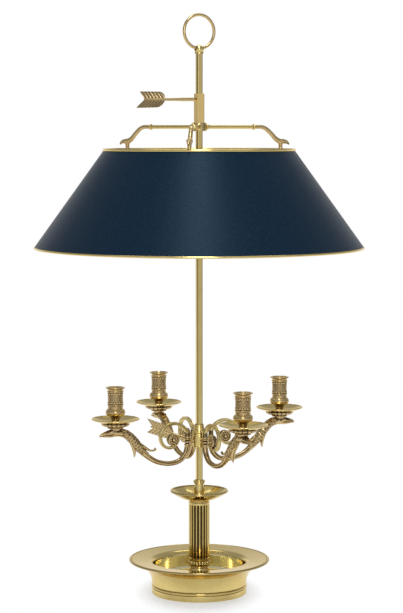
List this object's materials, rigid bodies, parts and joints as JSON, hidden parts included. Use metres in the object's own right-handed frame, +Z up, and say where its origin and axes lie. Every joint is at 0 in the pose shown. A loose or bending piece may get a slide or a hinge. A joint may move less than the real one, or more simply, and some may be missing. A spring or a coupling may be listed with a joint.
{
  "type": "candle bouillotte lamp",
  "caption": "Bouillotte candle lamp: brass bowl base and fluted column, square stem, sliding bird-headed candle arms, and an enamelled metal shade on a sliding spider with arrow thumb screws.",
  "frame": {"origin": "on the stem's axis at the table, under the middle of the foot", "axes": "+Z up along the stem; the candle arms lie along +X, +Y, -X and -Y, and the flats of the square stem face the same ways"},
  "size_m": [0.494, 0.494, 0.8698],
  "materials": {
    "polished_brass": "polished and lacquered",
    "antiqued_brass": "cast, chased and antiqued",
    "enamelled_shade": "satin enamel on sheet metal",
    "zinc_steel": "zinc plated"
  },
  "bodies": {
    "stand": {"base_bowl": "polished_brass", "base_washer": "zinc_steel", "base_nut": "zinc_steel", "tie_rod": "zinc_steel", "column_foot": "polished_brass", "base_ring": "polished_brass", "column": "polished_brass", "column_cap": "polished_brass", "drip_pan": "polished_brass", "stem_collar": "polished_brass", "stem": "polished_brass", "ring_eye": "polished_brass"},
    "carry_ring": {"carry_ring": "polished_brass"},
    "candle_cluster": {"hub": "polished_brass", "arm_1": "antiqued_brass", "arm_2": "antiqued_brass", "arm_3": "antiqued_brass", "arm_4": "antiqued_brass", "scroll_1": "antiqued_brass", "scroll_2": "antiqued_brass", "scroll_3": "antiqued_brass", "scroll_4": "antiqued_brass", "rosette_1": "antiqued_brass", "rosette_2": "antiqued_brass", "rosette_3": "antiqued_brass", "rosette_4": "antiqued_brass", "under_cup_1": "antiqued_brass", "under_cup_2": "antiqued_brass", "under_cup_3": "antiqued_brass", "under_cup_4": "antiqued_brass", "candle_pan_1": "polished_brass", "candle_pan_2": "polished_brass", "candle_pan_3": "polished_brass", "candle_pan_4": "polished_brass", "candle_cup_1": "antiqued_brass", "candle_cup_2": "antiqued_brass", "candle_cup_3": "antiqued_brass", "candle_cup_4": "antiqued_brass"},
    "cluster_arrow": {"cluster_arrow": "antiqued_brass"},
    "shade_carrier": {"sleeve": "polished_brass", "spider_hub": "polished_brass", "spider_rod_1": "polished_brass", "spider_rod_2": "polished_brass", "spider_rod_3": "polished_brass", "spider_end_1": "polished_brass", "spider_end_2": "polished_brass", "spider_end_3": "polished_brass", "clamp_screws": "antiqued_brass", "rim_lugs": "polished_brass", "shade": "enamelled_shade", "shade_top_bead": "polished_brass", "shade_bottom_bead": "polished_brass"},
    "carrier_arrow": {"carrier_arrow": "antiqued_brass"}
  },
  "joints": [
    {"name": "carry_ring_swing", "type": "hinge", "parent": "stand", "child": "carry_ring", "pos_m": [0, 0, 0.81769], "axis": [1, 0, 0], "range_deg": [-140, 140]},
    {"name": "candle_cluster_slide", "type": "slide", "parent": "stand", "child": "candle_cluster", "axis": [0, 0, 1], "range_m": [-0.035, 0.1]},
    {"name": "cluster_arrow_turn", "type": "hinge", "parent": "candle_cluster", "child": "cluster_arrow", "pos_m": [0, 0, 0.2285], "axis": [-0.683, 0.683, 0.2588], "range_deg": [0, 360]},
    {"name": "shade_carrier_slide", "type": "slide", "parent": "stand", "child": "shade_carrier", "axis": [0, 0, 1], "range_m": [-0.2, 0.055]},
    {"name": "carrier_arrow_turn", "type": "hinge", "parent": "shade_carrier", "child": "carrier_arrow", "pos_m": [0, 0, 0.74275], "axis": [-0.7071, 0.7071, 0], "range_deg": [0, 360]}
  ]
}
